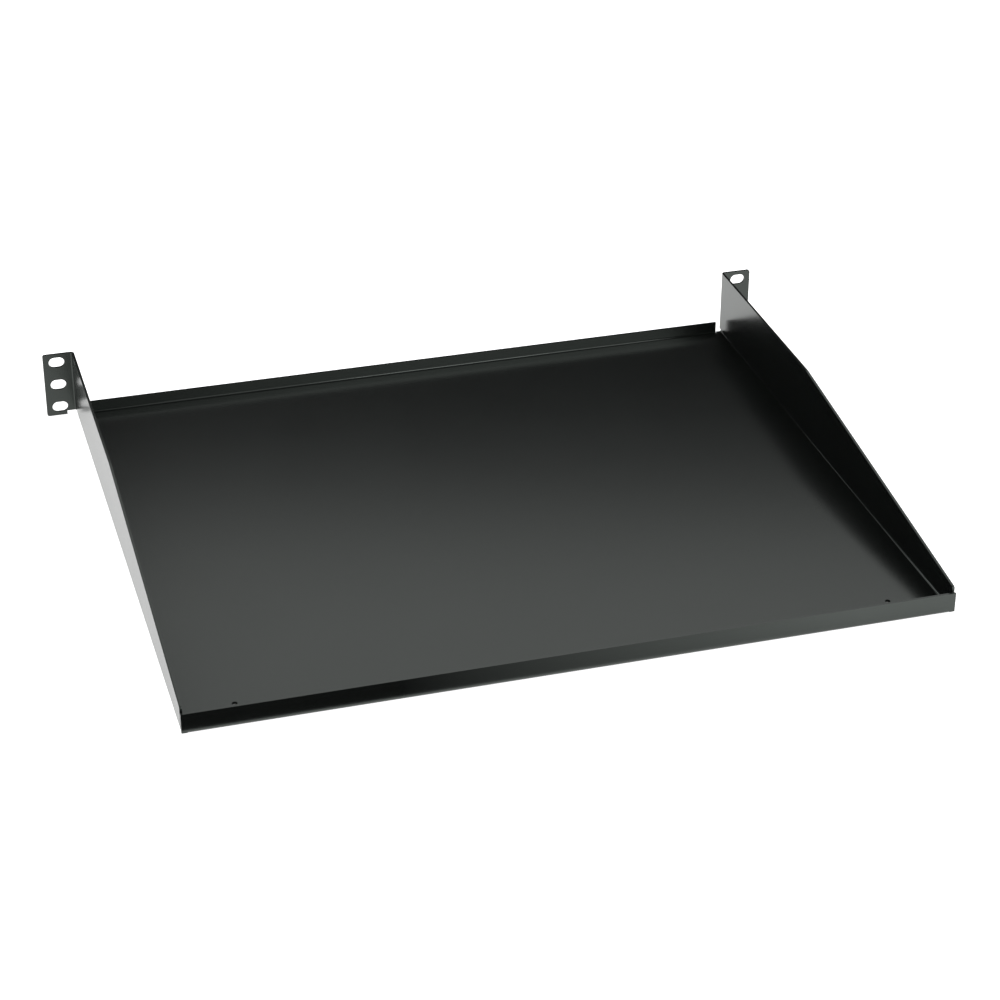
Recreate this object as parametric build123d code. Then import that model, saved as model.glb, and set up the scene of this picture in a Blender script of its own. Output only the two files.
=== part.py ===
from build123d import *
import os

# Cantilever rack shelf, one rack unit high: one sheet of steel, cut and folded.
# Millimetres. X runs across the rack, +Y points out of the rack's front, +Z is up.
# The origin is the centre of the slot pattern, in the plane of the ears' mating faces.
# The ears are at Y = 0 and the shelf reaches back from them along -Y.

# Sheet and folds
SHEET = 1.5                  # thickness of the steel
BEND_RADIUS = 1.0            # inside radius of every fold
FOLD_RELIEF = 0.8            # width of the slit cut at the end of a lip's fold

# Rack interface: 19-inch width, one unit high
RACK_WIDTH = 482.6           # over both ears
EAR_WIDTH = 18.8             # outer face of a side wall to the outer edge of its ear
SLOT_FROM_TIP = 8.75         # outer edge of an ear to the centres of its slots
SLOT_FROM_END = 5.95         # lower or upper edge of an ear to the nearest slot's centre
SLOT_PITCH = 15.875          # slot centre to slot centre up an ear
SLOTS_PER_EAR = 3
SLOT_LENGTH = 10.0
SLOT_WIDTH = 7.0
EAR_CORNER_RADIUS = 1.5      # outer corners of an ear
NOTCH_PAST_SLOT = 0.75       # slots' inner ends to the end of the notch under the ear's fold

# Tray
BODY_DEPTH = 381.0           # ears' mating faces to the outer face of the rear lip
WALL_LEVEL_RUN = 152.4       # length of a side wall that keeps its full height
WALL_END_HEIGHT = 16.0       # height of a side wall at the rear
WALL_CORNER_RADIUS = 1.5     # upper rear corner of a side wall
REAR_LIP_HEIGHT = 13.0
REAR_LIP_CLEARANCE = 1.0     # inner face of the rear lip to the end of a side wall
REAR_TAB_RISE = 1.0          # lower edge of the lip's two end tabs, above the underside
FRONT_LIP_HEIGHT = 9.0
FRONT_LIP_CLEARANCE = 0.5    # outer face of the front lip to the start of the ears' folds
FRONT_LIP_INSET = 5.8        # outer face of a side wall to the end of the front lip

# Pair of small holes by the rear lip
HOLE_DIAMETER = 3.2
HOLE_FROM_WALL = 32.5        # outer face of a side wall to the hole's centre
HOLE_FROM_REAR = 20.0        # outer face of the rear lip to the hole's centre

# Worked out from the values above
FOLD = SHEET + BEND_RADIUS                      # what a fold takes up, from an outer face
TIP_X = RACK_WIDTH / 2                          # outer edge of the right ear
HALF_BODY = TIP_X - EAR_WIDTH                   # outer face of the right wall
SLOT_X = TIP_X - SLOT_FROM_TIP                  # centres of the right ear's slots
UNIT_HEIGHT = SLOT_PITCH * (SLOTS_PER_EAR - 1) + 2 * SLOT_FROM_END
REAR_Y = -BODY_DEPTH
WALL_END_Y = REAR_Y + SHEET + REAR_LIP_CLEARANCE
FRONT_Y = -(FOLD + FRONT_LIP_CLEARANCE)         # outer face of the front lip
MID_Y = (REAR_Y + FRONT_Y) / 2                  # both lips' sections run in to this line
UNDERSIDE_Z = -UNIT_HEIGHT / 2
ORIGIN_LIFT = Pos(0, 0, UNDERSIDE_Z)            # from the underside's height to the origin's
OVERSHOOT = 2 * SHEET                           # how far a cutter reaches past the sheet


def block(x_range, y_range, z_range):
    """Box between two X, two Y and two Z values."""
    size = [high - low for low, high in (x_range, y_range, z_range)]
    centre = [(high + low) / 2 for low, high in (x_range, y_range, z_range)]
    return Pos(*centre) * Box(*size)


def folded_section(outer_points, inner_points):
    """Section of folded sheet: each corner is one thickness rounder outside than inside."""
    outer = FilletPolyline(*outer_points, radius=FOLD)
    inner = FilletPolyline(*inner_points, radius=BEND_RADIUS)
    start = Line(outer @ 0, inner @ 0)
    end = Line(outer @ 1, inner @ 1)
    return make_face([outer, inner, start, end])


def both_sides(solid):
    """The solid with its mirror image on the other side of the shelf."""
    return [solid, mirror(solid, Plane.YZ)]


def channel():
    """Floor and side walls: one U section, run from the walls' rear ends to the front edge."""
    inside = HALF_BODY - SHEET
    outer = [(-HALF_BODY, UNIT_HEIGHT), (-HALF_BODY, 0), (HALF_BODY, 0), (HALF_BODY, UNIT_HEIGHT)]
    inner = [(-inside, UNIT_HEIGHT), (-inside, SHEET), (inside, SHEET), (inside, UNIT_HEIGHT)]
    section = Plane.XZ * folded_section(outer, inner)
    run = FRONT_Y - WALL_END_Y
    return extrude(Pos(0, FRONT_Y, 0) * section, run)


def lip(outer_y, height, half_width):
    """Upturned edge: an L section that shares the floor's plane and ends in a level edge."""
    inward = 1 if outer_y < MID_Y else -1
    inner_y = outer_y + inward * SHEET
    outer = [(outer_y, height), (outer_y, 0), (MID_Y, 0)]
    inner = [(inner_y, height), (inner_y, SHEET), (MID_Y, SHEET)]
    section = Plane.YZ * folded_section(outer, inner)
    return extrude(section, half_width, both=True)


def corner(x_start, x_end, outer_y):
    """Room for a lip's fold at one end: all the height of the fold, from x_start to x_end."""
    inward = 1 if outer_y < MID_Y else -1
    y_range = sorted((outer_y - inward * SHEET, outer_y + inward * FOLD))
    return block((x_start, x_end), y_range, (-OVERSHOOT, FOLD))


def wall_outline():
    """Everything that stands under a side wall's top edge: level by the ears, then tapered."""
    points = [
        (SHEET, -OVERSHOOT),
        (SHEET, UNIT_HEIGHT),
        (-WALL_LEVEL_RUN, UNIT_HEIGHT),
        (WALL_END_Y, WALL_END_HEIGHT),
        (WALL_END_Y, -OVERSHOOT),
    ]
    outline = make_face(Polyline(*points, close=True))
    top_corner = outline.vertices().sort_by(Axis.X)[:2].sort_by(Axis.Y)[-1]
    rounded = fillet(top_corner, WALL_CORNER_RADIUS)
    return extrude(Plane.YZ * rounded, HALF_BODY, both=True)


def slot_row():
    """The slots of the right ear, one above the other at the rack's pitch."""
    slot = extrude(Plane.XZ * SlotOverall(SLOT_LENGTH, SLOT_WIDTH), OVERSHOOT, both=True)
    heights = [SLOT_FROM_END + SLOT_PITCH * number for number in range(SLOTS_PER_EAR)]
    return [Pos(SLOT_X, 0, height) * slot for height in heights]


def ear():
    """Right ear: the wall's front end folded outwards, with its slots, corners and notch."""
    outer = [(HALF_BODY - SHEET, FRONT_Y), (HALF_BODY - SHEET, SHEET), (TIP_X, SHEET)]
    inner = [(HALF_BODY, FRONT_Y), (HALF_BODY, 0), (TIP_X, 0)]
    strip = extrude(folded_section(outer, inner), UNIT_HEIGHT)
    tip_edges = strip.edges().filter_by(Axis.Y).group_by(Axis.X)[-1]
    strip = fillet(tip_edges, EAR_CORNER_RADIUS)
    notch_end = SLOT_X - SLOT_LENGTH / 2 + NOTCH_PAST_SLOT
    notch = block((0, notch_end), (FRONT_Y, OVERSHOOT), (-OVERSHOOT, FOLD))
    return strip - notch - slot_row()


def rear_lip():
    """Rear lip: its fold ends short of the side folds, and a flat tab reaches each corner."""
    fold_end = HALF_BODY - FOLD - FOLD_RELIEF
    folded = lip(REAR_Y, REAR_LIP_HEIGHT, fold_end)
    tabs_z = (REAR_TAB_RISE, REAR_LIP_HEIGHT)
    upright = block((-HALF_BODY, HALF_BODY), (REAR_Y, REAR_Y + SHEET), tabs_z)
    below_fold = block((-fold_end, fold_end), (REAR_Y, REAR_Y + SHEET), (0, FOLD))
    return folded + (upright - below_fold)


def rear_corner():
    """Clearance at the right rear corner, where the side fold meets the lip's fold."""
    return corner(HALF_BODY - FOLD - FOLD_RELIEF, HALF_BODY + SHEET, REAR_Y)


def front_slit():
    """Slit that frees the right end of the front lip's fold from the floor beside it."""
    lip_end = HALF_BODY - FRONT_LIP_INSET
    return corner(lip_end, lip_end + FOLD_RELIEF, FRONT_Y)


def small_holes():
    """Pair of round holes through the floor by the rear lip."""
    drill = Cylinder(HOLE_DIAMETER / 2, 2 * OVERSHOOT)
    return both_sides(Pos(HALF_BODY - HOLE_FROM_WALL, REAR_Y + HOLE_FROM_REAR, 0) * drill)


def shelf():
    """The whole shelf as one solid, standing on its underside."""
    half_floor = HALF_BODY - FRONT_LIP_INSET
    rear_room = block((-HALF_BODY, HALF_BODY), (REAR_Y, REAR_Y + FOLD), (-OVERSHOOT, FOLD))
    front_room = block((-half_floor, half_floor), (FRONT_Y - FOLD, 0), (-OVERSHOOT, FOLD))
    tray = (channel() & wall_outline()) - rear_room - front_room
    tray = tray - both_sides(rear_corner()) - both_sides(front_slit())
    tray = tray + rear_lip() + lip(FRONT_Y, FRONT_LIP_HEIGHT, half_floor)
    tray = tray + both_sides(ear())
    return tray - small_holes()


os.makedirs("parts", exist_ok=True)
export_step(ORIGIN_LIFT * shelf(), "parts/shelf.step")
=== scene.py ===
"""Looks of the cantilever rack shelf: black powder coat, floor, lamps and camera.

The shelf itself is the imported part. Everything here is in metres, in the part's own frame: X runs
across the rack, +Y points out of the rack's front, +Z is up.
"""

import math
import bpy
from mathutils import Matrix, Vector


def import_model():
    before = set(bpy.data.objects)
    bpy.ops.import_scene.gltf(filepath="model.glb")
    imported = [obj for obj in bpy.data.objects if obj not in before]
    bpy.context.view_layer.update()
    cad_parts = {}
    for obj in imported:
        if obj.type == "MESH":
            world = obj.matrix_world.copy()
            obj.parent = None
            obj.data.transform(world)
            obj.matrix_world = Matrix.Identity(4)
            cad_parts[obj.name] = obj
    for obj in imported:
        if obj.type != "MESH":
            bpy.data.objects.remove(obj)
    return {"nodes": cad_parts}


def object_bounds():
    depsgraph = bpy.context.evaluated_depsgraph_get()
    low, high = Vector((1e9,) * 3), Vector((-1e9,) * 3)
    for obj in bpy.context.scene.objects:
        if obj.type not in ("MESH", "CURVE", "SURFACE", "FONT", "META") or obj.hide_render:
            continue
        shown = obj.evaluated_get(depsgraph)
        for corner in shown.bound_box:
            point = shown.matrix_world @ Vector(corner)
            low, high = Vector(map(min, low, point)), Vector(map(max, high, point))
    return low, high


bl_info = {
    "name": "Cantilever Rack Shelf",
    "version": (1, 0, 0),
    "blender": (4, 5, 0),
    "location": "View3D > Sidebar > Rack Shelf",
    "description": "Finishes a folded rack shelf in black powder coat and sets it in a plain studio",
    "category": "Object",
}

import bpy
import numpy as np
from bpy.props import FloatProperty, FloatVectorProperty, PointerProperty
from mathutils import Matrix, Vector

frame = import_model()
CAD_BOX = [list(corner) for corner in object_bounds()]

MM = 0.001

# Shelf and its paint
SHELF = "shelf"
DRIFT_SIZE = 0.05                   # patches in which the paint's colour and gloss drift
DRIFT_DETAIL = 3.0                  # layers of finer noise in that drift
COLOUR_CHANGE = 0.12                # share by which the paint's colour drifts
PEEL_DETAIL = 2.0                   # layers of finer noise in the orange peel
WELD_DISTANCE = 0.001 * MM          # triangles' corners that are nearer than this become one
CUT_ANGLE = math.radians(50)        # an edge that turns by more is a cut edge, and not a fold
EDGE_SEGMENTS = 2                   # facets across the round of a cut edge

# Studio
SENSOR_MM = 36.0
FLOOR_NAME = "studio_floor"
FLOOR_LEVEL = CAD_BOX[0][2]         # the shelf stands on its underside
MIDDLE = (0.0, -0.19, 0.0)          # middle of the shelf, at the height of its slots' centres

# Soft lamps. Each row gives the name, the place, the point that it faces, the width, the height,
# and the brightness of its face, where 1 is white.
SOFTBOXES = (
    ("left_softbox", (-1.20, -0.25, 0.55), (-0.25, -0.20, -0.02), 1.4, 0.9, 1.6),
    ("right_softbox", (1.20, -0.25, 0.55), (0.25, -0.20, -0.02), 1.4, 0.9, 1.6),
    ("front_right_softbox", (0.75, -1.80, 1.15), MIDDLE, 1.2, 0.9, 4.0),
)

# Black cards around the shelf, seen only in its gloss, where they paint dark reflections. Each row
# gives the name, the corners (X, Y and the height above the floor) and how solid the card is.
CARDS = (
    ("low_card", ((-1.5, 1.25, 0), (2.0, 0.20, 0), (2.0, 0.20, 0.56), (-1.5, 1.25, 0.56)), 1.0),
    ("tall_card", ((-3.0, 1.60, 0), (-0.06, 1.60, 0), (-0.06, 1.60, 2.6), (-3.0, 1.60, 2.6)), 1.0),
    ("high_card", ((-1.4, -2.6, 1.9), (1.6, -2.6, 1.9), (1.6, 0.5, 1.9), (-1.4, 0.5, 1.9)), 0.7),
)

# Black card on the floor in front of the near lip, which paints a dark reflection on the lip: its X
# range, its Y range, its height above the floor, and the X range over which it clears.
GRADED_CARD = ((-0.50, 0.17), (-0.70, -0.3845), 0.0004)
CLEARING = (-0.10, 0.17)

# Painted shadow on the floor under the shelf, a patch of dull grey: its X range, its Y range, its
# height above the rest of the floor, and its grey.
SHADE = ((-0.21, 0.21), (-0.37, -0.012), 0.00005)
SHADE_GREY = 0.2


class ShelfPaintSettings(bpy.types.PropertyGroup):
    """Powder coat of the shelf and the softness of its cut edges."""

    colour: FloatVectorProperty(
        name="Colour",
        description="Colour of the paint under its gloss",
        subtype="COLOR",
        size=3,
        min=0.0,
        max=1.0,
        default=(0.0044, 0.0050, 0.0048),
    )
    roughness: FloatProperty(
        name="Roughness",
        description="How much the semi-gloss surface blurs what it reflects",
        subtype="FACTOR",
        min=0.0,
        max=1.0,
        default=0.23,
    )
    roughness_change: FloatProperty(
        name="Roughness change",
        description="How far the roughness drifts from place to place",
        subtype="FACTOR",
        min=0.0,
        max=0.2,
        default=0.012,
    )
    ior: FloatProperty(
        name="Refractive index",
        description="Refractive index of the paint, which sets how strongly it reflects",
        min=1.0,
        max=2.5,
        default=1.6,
    )
    gloss_tint: FloatVectorProperty(
        name="Gloss tint",
        description="Colour of the reflection where the paint is looked at straight on",
        subtype="COLOR",
        size=3,
        min=0.0,
        max=1.0,
        default=(0.90, 1.0, 0.93),
    )
    peel_height: FloatProperty(
        name="Orange peel height",
        description="Height of the fine waves that the powder dries to",
        subtype="DISTANCE",
        unit="LENGTH",
        min=0.0,
        default=0.004 * MM,
    )
    peel_size: FloatProperty(
        name="Orange peel size",
        description="Distance from one fine wave to the next",
        subtype="DISTANCE",
        unit="LENGTH",
        min=0.1 * MM,
        default=1.4 * MM,
    )
    edge_radius: FloatProperty(
        name="Edge radius",
        description="Round that the paint leaves on the cut edges of the sheet",
        subtype="DISTANCE",
        unit="LENGTH",
        min=0.0,
        default=0.02 * MM,
    )


class ShelfStageSettings(bpy.types.PropertyGroup):
    """Camera, floor and even light around the shelf."""

    focal_length: FloatProperty(
        name="Focal length",
        description="Focal length of the camera on a 36 mm sensor, in millimetres",
        subtype="DISTANCE_CAMERA",
        unit="CAMERA",
        min=10.0,
        default=95.165,
    )
    azimuth: FloatProperty(
        name="Azimuth",
        description="Angle of the camera around the shelf, from straight behind its free end",
        subtype="ANGLE",
        unit="ROTATION",
        default=math.radians(-16.326),
    )
    elevation: FloatProperty(
        name="Elevation",
        description="Angle of the camera above the shelf",
        subtype="ANGLE",
        unit="ROTATION",
        default=math.radians(29.624),
    )
    roll: FloatProperty(
        name="Roll",
        description="Tilt of the camera about its own line of sight",
        subtype="ANGLE",
        unit="ROTATION",
        default=math.radians(0.217),
    )
    distance: FloatProperty(
        name="Distance",
        description="Distance from the camera to the point that it looks at",
        subtype="DISTANCE",
        unit="LENGTH",
        default=1.61422,
    )
    aim: FloatVectorProperty(
        name="Aim",
        description="Point on the shelf's floor that the camera looks at",
        subtype="TRANSLATION",
        unit="LENGTH",
        size=3,
        default=(0.00887, -0.18830, -0.020),
    )
    floor_colour: FloatVectorProperty(
        name="Floor colour",
        description="Colour of the pale floor",
        subtype="COLOR",
        size=3,
        min=0.0,
        max=1.0,
        default=(0.86, 0.86, 0.86),
    )
    floor_glow: FloatProperty(
        name="Floor white",
        description="White that the camera and the gloss see on the floor besides the lamps' light",
        subtype="FACTOR",
        min=0.0,
        max=1.0,
        default=0.8,
    )
    room_light: FloatProperty(
        name="Room light",
        description="Brightness of the white studio as a light, where 1 is white",
        subtype="FACTOR",
        min=0.0,
        max=1.0,
        default=0.65,
    )
    floor_size: FloatProperty(
        name="Floor size",
        description="Width and depth of the floor",
        subtype="DISTANCE",
        unit="LENGTH",
        default=12.0,
    )


def principled(material):
    """The material's Principled BSDF node."""
    return next(node for node in material.node_tree.nodes if node.type == "BSDF_PRINCIPLED")


def noise(tree, place, size, detail):
    """Noise whose patches are about that size, read from where the surface is on the object."""
    texture = tree.nodes.new("ShaderNodeTexNoise")
    texture.inputs["Scale"].default_value = 1.0 / size
    texture.inputs["Detail"].default_value = detail
    tree.links.new(place.outputs["Object"], texture.inputs["Vector"])
    return texture


def powder_coat(paint):
    """Smooth semi-gloss black powder coat, with the faint orange peel that such paint dries to."""
    material = bpy.data.materials.new("black_powder_coat")
    material.use_nodes = True
    tree = material.node_tree
    shader = principled(material)
    shader.inputs["IOR"].default_value = paint.ior
    shader.inputs["Specular Tint"].default_value = (*paint.gloss_tint, 1.0)
    place = tree.nodes.new("ShaderNodeTexCoord")

    drift = noise(tree, place, DRIFT_SIZE, DRIFT_DETAIL)
    tone = tree.nodes.new("ShaderNodeValToRGB")
    for end, share in zip(tone.color_ramp.elements, (1 - COLOUR_CHANGE, 1 + COLOUR_CHANGE)):
        end.color = (*[share * value for value in paint.colour], 1.0)
    tree.links.new(drift.outputs["Fac"], tone.inputs["Fac"])
    tree.links.new(tone.outputs["Color"], shader.inputs["Base Color"])

    gloss = tree.nodes.new("ShaderNodeMapRange")
    gloss.inputs["To Min"].default_value = paint.roughness - paint.roughness_change
    gloss.inputs["To Max"].default_value = paint.roughness + paint.roughness_change
    tree.links.new(drift.outputs["Fac"], gloss.inputs["Value"])
    tree.links.new(gloss.outputs["Result"], shader.inputs["Roughness"])

    peel = noise(tree, place, paint.peel_size, PEEL_DETAIL)
    bump = tree.nodes.new("ShaderNodeBump")
    bump.inputs["Distance"].default_value = paint.peel_height
    tree.links.new(peel.outputs["Fac"], bump.inputs["Height"])
    tree.links.new(bump.outputs["Normal"], shader.inputs["Normal"])
    return material


def soften(piece, radius):
    """Weld the loose triangles, round the cut edges and even out the normals of the flats.

    The clamp holds the round to what the shortest edges have room for.
    """
    weld = piece.modifiers.new("weld", "WELD")
    weld.merge_threshold = WELD_DISTANCE
    bevel = piece.modifiers.new("cut_edges", "BEVEL")
    bevel.width = radius
    bevel.segments = EDGE_SEGMENTS
    bevel.limit_method = "ANGLE"
    bevel.angle_limit = CUT_ANGLE
    bevel.harden_normals = True
    bevel.use_clamp_overlap = True


class RACKSHELF_OT_paint_shelf(bpy.types.Operator):
    """Give the folded sheet its black powder coat and soft cut edges"""

    bl_idname = "rackshelf.paint_shelf"
    bl_label = "Paint Shelf"

    def execute(self, context):
        paint = context.scene.rackshelf_paint
        shelf = frame["nodes"][SHELF]
        material = powder_coat(paint)
        shelf.data.materials.clear()
        shelf.data.materials.append(material)
        soften(shelf, paint.edge_radius)
        return {"FINISHED"}


def view_axes(azimuth, elevation, roll):
    """Right, up and forward of a camera that looks at the shelf from that azimuth and elevation.

    Forward starts along +Y, tips down by the elevation and turns about +Z by the azimuth. Right
    and up are square to it, and both turn about it by the roll.
    """
    forward = Vector((
        -math.sin(azimuth) * math.cos(elevation),
        math.cos(azimuth) * math.cos(elevation),
        -math.sin(elevation),
    ))
    level = forward.cross(Vector((0, 0, 1))).normalized()
    above = level.cross(forward)
    right = math.cos(roll) * level + math.sin(roll) * above
    up = math.cos(roll) * above - math.sin(roll) * level
    return right, up, forward


def camera(stage):
    """Camera where the photograph was taken from."""
    data = bpy.data.cameras.new("camera")
    data.sensor_width = SENSOR_MM
    data.lens = stage.focal_length
    eye = bpy.data.objects.new("camera", data)
    right, up, forward = view_axes(stage.azimuth, stage.elevation, stage.roll)
    place = Vector(stage.aim) - stage.distance * forward
    turn = Matrix((right, up, -forward)).transposed()
    eye.matrix_world = Matrix.Translation(place) @ turn.to_4x4()
    bpy.context.scene.collection.objects.link(eye)
    bpy.context.scene.camera = eye


def combine(tree, operation, first, second):
    """Output of a maths node that works on an output and on another output or a number."""
    step = tree.nodes.new("ShaderNodeMath")
    step.operation = operation
    tree.links.new(first, step.inputs[0])
    if isinstance(second, float):
        step.inputs[1].default_value = second
    else:
        tree.links.new(second, step.inputs[1])
    return step.outputs["Value"]


def seen(tree):
    """One for the rays of the camera, of gloss and of clear materials, and nought for the rest."""
    ray = tree.nodes.new("ShaderNodeLightPath").outputs
    direct_or_gloss = combine(tree, "MAXIMUM", ray["Is Camera Ray"], ray["Is Glossy Ray"])
    return combine(tree, "MAXIMUM", direct_or_gloss, ray["Is Transmission Ray"])


def rectangle(x_range, y_range, height):
    """Corners of a level rectangle, in order, that high above the floor."""
    (left, right), (near, far) = x_range, y_range
    return (left, near, height), (right, near, height), (right, far, height), (left, far, height)


def quad(name, corners):
    """Flat piece of the studio.

    Each corner is an X, a Y and a height above the floor.
    """
    mesh = bpy.data.meshes.new(name)
    points = np.array(corners) + (0, 0, FLOOR_LEVEL)
    mesh.from_pydata(points.tolist(), [], [tuple(range(len(points)))])
    plane = bpy.data.objects.new(name, mesh)
    bpy.context.scene.collection.objects.link(plane)
    material = bpy.data.materials.new(name)
    material.use_nodes = True
    mesh.materials.append(material)
    shader = principled(material)
    shader.inputs["Roughness"].default_value = 1.0
    shader.inputs["Specular IOR Level"].default_value = 0.0
    return plane


def floor(stage):
    """Flat pale floor under the shelf, which keeps the shelf's shadow."""
    span = (-stage.floor_size / 2, stage.floor_size / 2)
    material = quad(FLOOR_NAME, rectangle(span, span, 0)).data.materials[0]
    tree = material.node_tree
    shader = principled(material)
    shader.inputs["Base Color"].default_value = (*stage.floor_colour, 1.0)
    shader.inputs["Emission Color"].default_value = (1, 1, 1, 1)
    glow = combine(tree, "MULTIPLY", seen(tree), stage.floor_glow)
    tree.links.new(glow, shader.inputs["Emission Strength"])


def dark_card(name, corners, solid=1.0):
    """Black card with those corners, that solid, seen only in the shelf's gloss as a painted dark
    reflection.
    """
    plane = quad(name, corners)
    shader = principled(plane.data.materials[0])
    shader.inputs["Base Color"].default_value = (0, 0, 0, 1)
    shader.inputs["Alpha"].default_value = solid
    plane.visible_camera = False
    plane.visible_diffuse = False
    plane.visible_shadow = False
    plane.visible_transmission = False
    return plane


def graded_card():
    """Black card before the near lip, a painted dark reflection that clears from left to right."""
    material = dark_card("graded_card", rectangle(*GRADED_CARD)).data.materials[0]
    tree = material.node_tree
    place = tree.nodes.new("ShaderNodeTexCoord")
    across = tree.nodes.new("ShaderNodeSeparateXYZ")
    tree.links.new(place.outputs["Object"], across.inputs["Vector"])
    clear = tree.nodes.new("ShaderNodeMapRange")
    clear.inputs["From Min"].default_value, clear.inputs["From Max"].default_value = CLEARING
    clear.inputs["To Min"].default_value = 1.0
    clear.inputs["To Max"].default_value = 0.0
    tree.links.new(across.outputs["X"], clear.inputs["Value"])
    tree.links.new(clear.outputs["Result"], principled(material).inputs["Alpha"])


def shade():
    """Painted shadow under the shelf: grey floor with no white of its own, so the holes look dark.
    """
    shader = principled(quad("shade", rectangle(*SHADE)).data.materials[0])
    shader.inputs["Base Color"].default_value = (SHADE_GREY, SHADE_GREY, SHADE_GREY, 1)


def world(stage):
    """White studio all round, which also gives even light."""
    sky = bpy.data.worlds.new("studio")
    sky.use_nodes = True
    tree = sky.node_tree
    background = next(node for node in tree.nodes if node.type == "BACKGROUND")
    background.inputs["Color"].default_value = (1, 1, 1, 1)
    strength = combine(tree, "MAXIMUM", seen(tree), stage.room_light)
    tree.links.new(strength, background.inputs["Strength"])
    bpy.context.scene.world = sky


def softbox(name, place, target, width, height, brightness):
    """Rectangular lamp at that place, turned to that point; its face is that many times white.

    The power that makes a lamp's face white is pi times its area.
    """
    data = bpy.data.lights.new(name, "AREA")
    data.shape = "RECTANGLE"
    data.size = width
    data.size_y = height
    data.energy = math.pi * width * height * brightness
    lamp = bpy.data.objects.new(name, data)
    turn = (Vector(target) - Vector(place)).to_track_quat("-Z", "Y")
    lamp.matrix_world = Matrix.Translation(place) @ turn.to_matrix().to_4x4()
    lamp.visible_camera = False
    bpy.context.scene.collection.objects.link(lamp)


class RACKSHELF_OT_set_stage(bpy.types.Operator):
    """Set the floor, the lamps and the camera around the shelf"""

    bl_idname = "rackshelf.set_stage"
    bl_label = "Set Stage"

    def execute(self, context):
        stage = context.scene.rackshelf_stage
        context.scene.view_settings.view_transform = "Standard"
        camera(stage)
        floor(stage)
        world(stage)
        for row in SOFTBOXES:
            softbox(*row)
        for row in CARDS:
            dark_card(*row)
        graded_card()
        shade()
        return {"FINISHED"}


class RACKSHELF_PT_panel(bpy.types.Panel):
    """Rack shelf tools"""

    bl_idname = "RACKSHELF_PT_panel"
    bl_label = "Rack Shelf"
    bl_space_type = "VIEW_3D"
    bl_region_type = "UI"
    bl_category = "Rack Shelf"

    def draw(self, context):
        layout = self.layout
        for group, operator in (
            (context.scene.rackshelf_paint, RACKSHELF_OT_paint_shelf),
            (context.scene.rackshelf_stage, RACKSHELF_OT_set_stage),
        ):
            box = layout.box()
            for name in group.__annotations__:
                box.prop(group, name)
            box.operator(operator.bl_idname)


CLASSES = (
    ShelfPaintSettings,
    ShelfStageSettings,
    RACKSHELF_OT_paint_shelf,
    RACKSHELF_OT_set_stage,
    RACKSHELF_PT_panel,
)


def register():
    """Register the classes and give the scene the shelf's settings."""
    for cls in CLASSES:
        bpy.utils.register_class(cls)
    bpy.types.Scene.rackshelf_paint = PointerProperty(type=ShelfPaintSettings)
    bpy.types.Scene.rackshelf_stage = PointerProperty(type=ShelfStageSettings)


def unregister():
    """Take the settings and the classes away again."""
    del bpy.types.Scene.rackshelf_stage
    del bpy.types.Scene.rackshelf_paint
    for cls in reversed(CLASSES):
        bpy.utils.unregister_class(cls)


def main():
    """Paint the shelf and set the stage."""
    register()
    bpy.ops.rackshelf.paint_shelf()
    bpy.ops.rackshelf.set_stage()


if __name__ == "__main__":
    main()
